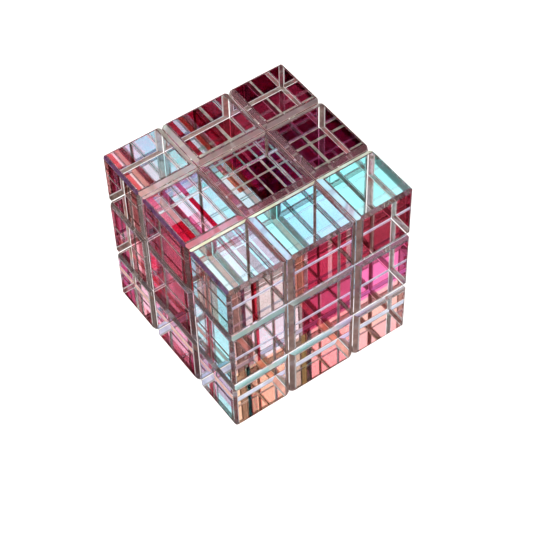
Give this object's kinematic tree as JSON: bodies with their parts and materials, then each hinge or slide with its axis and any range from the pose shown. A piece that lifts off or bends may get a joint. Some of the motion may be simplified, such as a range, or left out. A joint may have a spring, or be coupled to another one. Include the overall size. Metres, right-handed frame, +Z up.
{
  "type": "acrylic display cube",
  "caption": "Clear acrylic display cube built up from bonded blocks, with shallow V grooves along every joint and colour-shifting film between the layers.",
  "frame": {"origin": "centre of the flat underside", "axes": "+Z up through the top face, +X along the front face from left to right, +Y from the front face to the back face"},
  "size_m": [0.06, 0.06, 0.06],
  "materials": {
    "clear_acrylic": "gloss",
    "film_sheet": "gloss",
    "film_strip": "gloss",
    "film_square": "gloss"
  },
  "bodies": {
    "root": {"block_front_left_lower": "clear_acrylic", "block_front_left_mid": "clear_acrylic", "block_front_left_upper": "clear_acrylic", "block_front_centre_lower": "clear_acrylic", "block_front_centre_mid": "clear_acrylic", "block_front_centre_upper": "clear_acrylic", "block_front_right_lower": "clear_acrylic", "block_front_right_mid": "clear_acrylic", "block_front_right_upper": "clear_acrylic", "block_middle_left_lower": "clear_acrylic", "block_middle_left_mid": "clear_acrylic", "block_middle_left_upper": "clear_acrylic", "block_middle_centre_lower": "clear_acrylic", "block_middle_centre_mid": "clear_acrylic", "block_middle_centre_upper": "clear_acrylic", "block_middle_right_lower": "clear_acrylic", "block_middle_right_mid": "clear_acrylic", "block_middle_right_upper": "clear_acrylic", "block_back_left_lower": "clear_acrylic", "block_back_left_mid": "clear_acrylic", "block_back_left_upper": "clear_acrylic", "block_back_centre_lower": "clear_acrylic", "block_back_centre_mid": "clear_acrylic", "block_back_centre_upper": "clear_acrylic", "block_back_right_lower": "clear_acrylic", "block_back_right_mid": "clear_acrylic", "block_back_right_upper": "clear_acrylic", "film_sheet_front_to_middle": "film_sheet", "film_sheet_middle_to_back": "film_sheet", "film_strip_front_left_to_centre": "film_strip", "film_strip_front_centre_to_right": "film_strip", "film_strip_middle_left_to_centre": "film_strip", "film_strip_middle_centre_to_right": "film_strip", "film_strip_back_left_to_centre": "film_strip", "film_strip_back_centre_to_right": "film_strip", "film_square_front_left_lower_to_mid": "film_square", "film_square_front_left_mid_to_upper": "film_square", "film_square_front_centre_lower_to_mid": "film_square", "film_square_front_centre_mid_to_upper": "film_square", "film_square_front_right_lower_to_mid": "film_square", "film_square_front_right_mid_to_upper": "film_square", "film_square_middle_left_lower_to_mid": "film_square", "film_square_middle_left_mid_to_upper": "film_square", "film_square_middle_centre_lower_to_mid": "film_square", "film_square_middle_centre_mid_to_upper": "film_square", "film_square_middle_right_lower_to_mid": "film_square", "film_square_middle_right_mid_to_upper": "film_square", "film_square_back_left_lower_to_mid": "film_square", "film_square_back_left_mid_to_upper": "film_square", "film_square_back_centre_lower_to_mid": "film_square", "film_square_back_centre_mid_to_upper": "film_square", "film_square_back_right_lower_to_mid": "film_square", "film_square_back_right_mid_to_upper": "film_square"}
  },
  "joints": []
}
